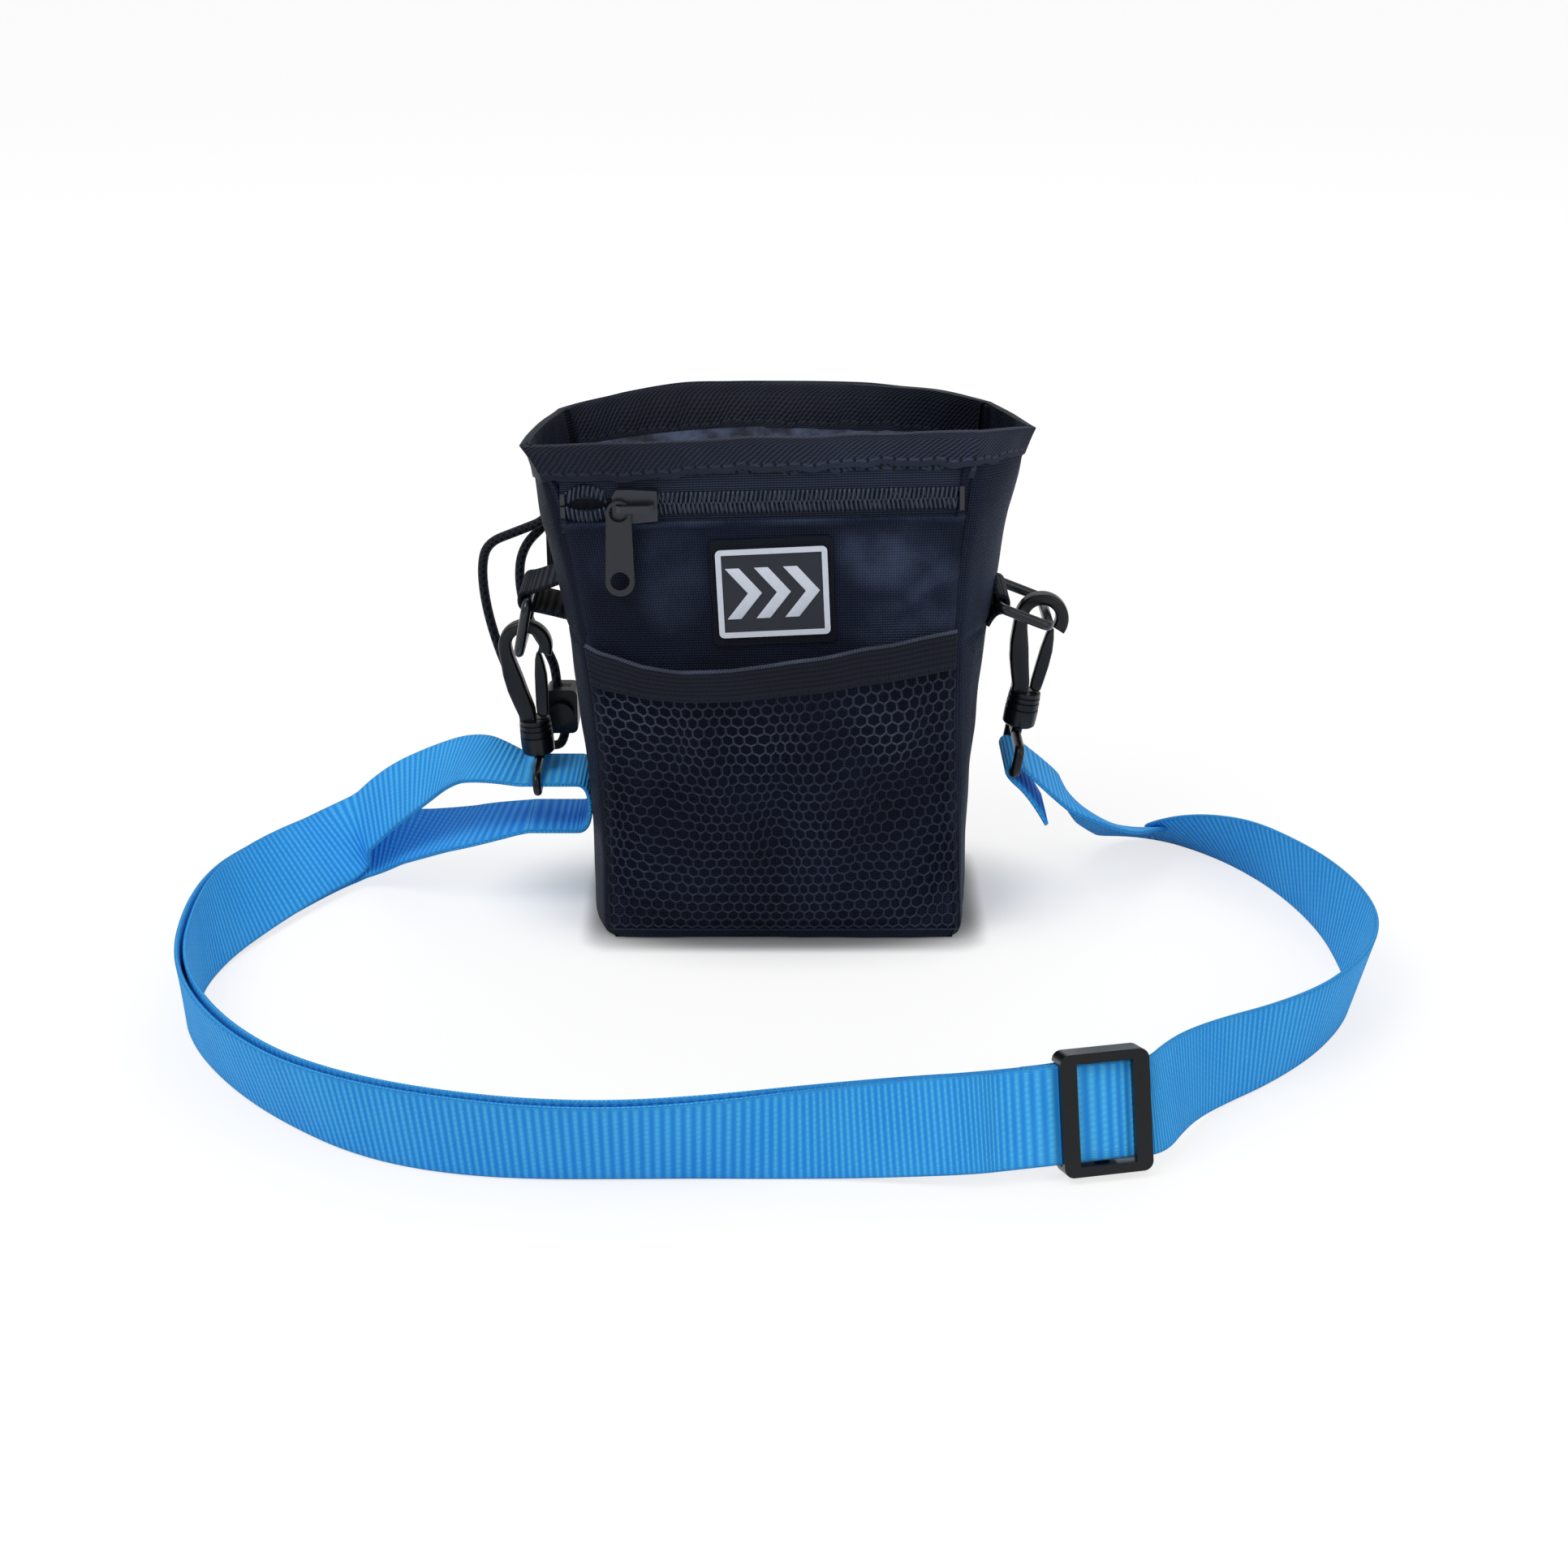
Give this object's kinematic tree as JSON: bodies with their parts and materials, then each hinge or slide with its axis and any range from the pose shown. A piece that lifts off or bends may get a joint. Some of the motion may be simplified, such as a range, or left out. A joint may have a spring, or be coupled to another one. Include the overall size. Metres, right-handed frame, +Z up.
{
  "type": "treat pouch",
  "caption": "Belt pouch with a zipped front pocket, a mesh pocket, swivel snap hooks on rectangular rings and an adjustable webbing shoulder strap",
  "frame": {"origin": "middle of the base panel's under face, on the surface that the pouch stands on", "axes": "front towards -Y, +X to the right seen from the front, +Z up"},
  "size_m": [0.3376, 0.2235, 0.1527],
  "materials": {
    "black_fabric": "woven polyester",
    "black_webbing": "ribbed webbing",
    "binding": "twill and ribbed elastic",
    "nylon": "thin coated nylon",
    "mesh": "open mesh",
    "zip_tape": "woven tape",
    "coil": "moulded nylon",
    "zip_metal": "satin lacquer",
    "pull_metal": "matt lacquer",
    "black_plastic": "moulded acetal",
    "ring_metal": "black lacquer",
    "blue_webbing": "ribbed nylon webbing",
    "cord": "braided",
    "eyelet": "black lacquer",
    "spring_steel": "drawn wire",
    "badge_backing": "woven",
    "badge": "soft moulded"
  },
  "bodies": {
    "pouch": {"front_panel": "black_fabric", "back_panel": "black_fabric", "left_gusset": "black_fabric", "right_gusset": "black_fabric", "base_panel": "black_fabric", "rim_binding": "binding", "drawstring_collar": "nylon", "zip_pocket_lining": "nylon", "zip_tape_upper": "zip_tape", "zip_tape_lower": "zip_tape", "coil_upper": "coil", "coil_lower": "coil", "coil_open_upper": "coil", "coil_open_lower": "coil", "zip_top_stops": "zip_metal", "zip_bottom_stop": "zip_metal", "mesh_pocket": "mesh", "elastic_band": "binding", "badge_backing": "badge_backing", "badge_face": "badge", "tab_left": "black_webbing", "tab_right": "black_webbing", "seam_tab": "black_fabric", "belt_loop": "black_fabric", "eye_left": "black_plastic", "eye_right": "black_plastic", "strap_main": "blue_webbing", "strap_return": "blue_webbing", "strap_return_end": "blue_webbing", "strap_turn_left": "blue_webbing", "strap_right_fold": "blue_webbing", "drawstring_outer": "cord", "drawstring_inner": "cord", "cord_eyelet": "eyelet", "cord_lock_body": "black_plastic", "cord_lock_spring": "spring_steel"},
    "zip_slider": {"zip_slider_body": "zip_metal"},
    "zip_pull": {"pull_tab": "pull_metal"},
    "left_ring": {"ring_left": "ring_metal"},
    "right_ring": {"ring_right": "ring_metal"},
    "left_hook": {"hook_left": "black_plastic"},
    "right_hook": {"hook_right": "black_plastic"},
    "left_gate": {"gate_left": "black_plastic"},
    "right_gate": {"gate_right": "black_plastic"},
    "strap_slider": {"tri_glide": "black_plastic", "strap_fold_at_slider": "blue_webbing"},
    "lock_button": {"cord_lock_button": "black_plastic"}
  },
  "joints": [
    {"name": "zip_slide", "type": "slide", "parent": "pouch", "child": "zip_slider", "axis": [0.9998, 0, 0.0209], "range_m": [-0.011, 0.083], "deforming": ["coil_upper", "coil_lower", "coil_open_upper", "coil_open_lower"]},
    {"name": "pull_swing", "type": "hinge", "parent": "zip_slider", "child": "zip_pull", "pos_m": [-0.04609, -0.03245, 0.13303], "axis": [0, 1, 0], "range_deg": [-56, 75]},
    {"name": "ring_left_swing", "type": "hinge", "parent": "pouch", "child": "left_ring", "pos_m": [-0.0746, 0, 0.0986], "axis": [0, 1, 0], "range_deg": [-6, 3]},
    {"name": "ring_right_swing", "type": "hinge", "parent": "pouch", "child": "right_ring", "pos_m": [0.0629, 0, 0.0976], "axis": [0, 1, 0], "range_deg": [-1, 7]},
    {"name": "hook_left_swivel", "type": "hinge", "parent": "pouch", "child": "left_hook", "pos_m": [-0.0741, 0, 0.0475], "axis": [-0.0819, 0, 0.9966], "range_deg": [-10, 10]},
    {"name": "hook_right_swivel", "type": "hinge", "parent": "pouch", "child": "right_hook", "pos_m": [0.0705, 0, 0.0565], "axis": [0.1702, 0, 0.9854], "range_deg": [-10, 10]},
    {"name": "gate_left_open", "type": "hinge", "parent": "left_hook", "child": "left_gate", "pos_m": [-0.07247, 0, 0.06068], "axis": [0, -1, 0], "range_deg": [0, 16], "stiffness_Nm_per_rad": 0.05, "springref_deg": -17.19},
    {"name": "gate_right_open", "type": "hinge", "parent": "right_hook", "child": "right_gate", "pos_m": [0.07537, 0, 0.06885], "axis": [0, -1, 0], "range_deg": [0, 16], "stiffness_Nm_per_rad": 0.05, "springref_deg": -17.19},
    {"name": "strap_adjust", "type": "slide", "parent": "pouch", "child": "strap_slider", "axis": [0.9781, 0.2079, 0], "range_m": [-0.006, 0.0015], "deforming": ["strap_return_end"]},
    {"name": "lock_press", "type": "slide", "parent": "pouch", "child": "lock_button", "axis": [0, 1, 0], "range_m": [0, 0.0019], "stiffness_N_per_m": 900, "springref_m": -0.002, "deforming": ["cord_lock_spring"]}
  ]
}
